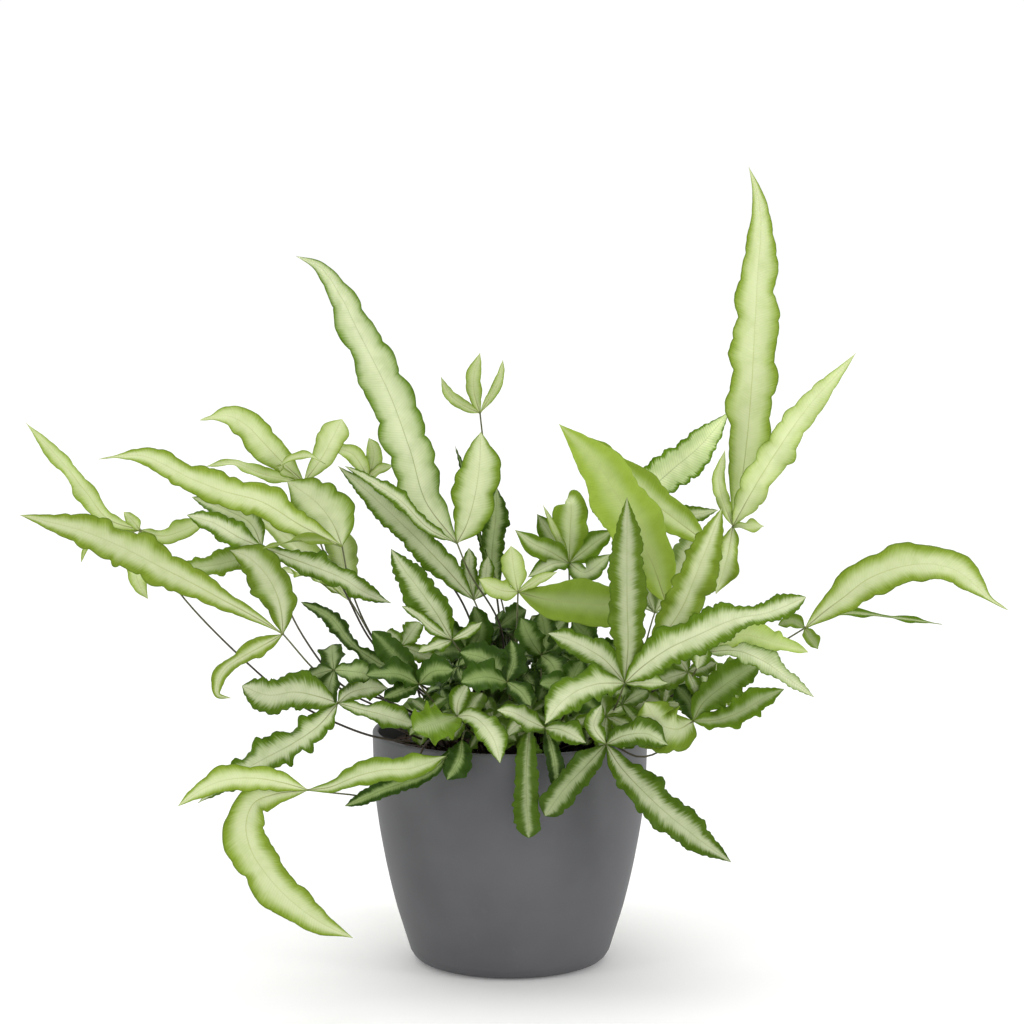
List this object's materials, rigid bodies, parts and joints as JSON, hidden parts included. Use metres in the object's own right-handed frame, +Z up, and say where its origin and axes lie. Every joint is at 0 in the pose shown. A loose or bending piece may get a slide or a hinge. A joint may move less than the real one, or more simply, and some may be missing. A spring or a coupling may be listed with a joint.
{
  "type": "potted fern",
  "caption": "Striped ribbon fern with long waved strap leaflets on wiry stems, growing in a plain round tapering pot.",
  "frame": {"origin": "centre of the pot's flat foot, on the surface it stands on", "axes": "+Z up; -Y towards the side the picture was taken from; +X to the right in the picture"},
  "size_m": [0.489, 0.2384, 0.4034],
  "materials": {
    "pot": "smooth, softly matte dark grey",
    "soil": "crumbly dark potting mix",
    "young_foliage": "waxy, yellow-green with a pale middle",
    "ripe_foliage": "waxy, green margins and a cream middle",
    "dark_foliage": "waxy, dark green with a grey-green middle",
    "stipe": "glossy dark brown wiry stem"
  },
  "bodies": {
    "root": {"pot": "pot", "soil": "soil", "frond_tall_left": "ripe_foliage", "frond_long_shaded": "ripe_foliage", "frond_front_left_ripe": "ripe_foliage", "frond_left_long": "young_foliage", "frond_left_mid": "ripe_foliage", "frond_left_upper": "young_foliage", "frond_left_top": "young_foliage", "frond_left_small": "young_foliage", "frond_left_far": "young_foliage", "frond_left_wavy": "ripe_foliage", "frond_lower_left": "young_foliage", "frond_rim_dark": "dark_foliage", "frond_rim_left": "ripe_foliage", "frond_rim_middle": "ripe_foliage", "frond_hanging_right": "ripe_foliage", "frond_hanging_front": "ripe_foliage", "frond_right_star": "ripe_foliage", "frond_right_ripe": "ripe_foliage", "frond_right_front_young": "young_foliage", "frond_right_back_young": "young_foliage", "frond_back_silver": "ripe_foliage", "frond_tall_right": "young_foliage", "frond_far_right": "young_foliage", "frond_right_low": "dark_foliage", "frond_right_middle": "ripe_foliage", "frond_right_inner": "ripe_foliage", "frond_centre_whorl": "young_foliage", "frond_centre_young": "young_foliage", "frond_top_whorl": "young_foliage", "frond_behind_tall_left": "dark_foliage", "frond_centre_dark_left": "dark_foliage", "frond_centre_dark_front": "dark_foliage", "frond_centre_dark_right": "dark_foliage", "frond_centre_dark_low": "dark_foliage", "frond_centre_dark_back": "dark_foliage", "frond_centre_dark_far": "dark_foliage", "frond_back_dark_left": "dark_foliage", "frond_back_dark_right": "dark_foliage", "frond_back_low_left": "ripe_foliage", "frond_back_low_middle": "ripe_foliage", "frond_back_low_right": "young_foliage", "frond_back_up_right": "ripe_foliage", "frond_back_up_left": "young_foliage"}
  },
  "joints": []
}
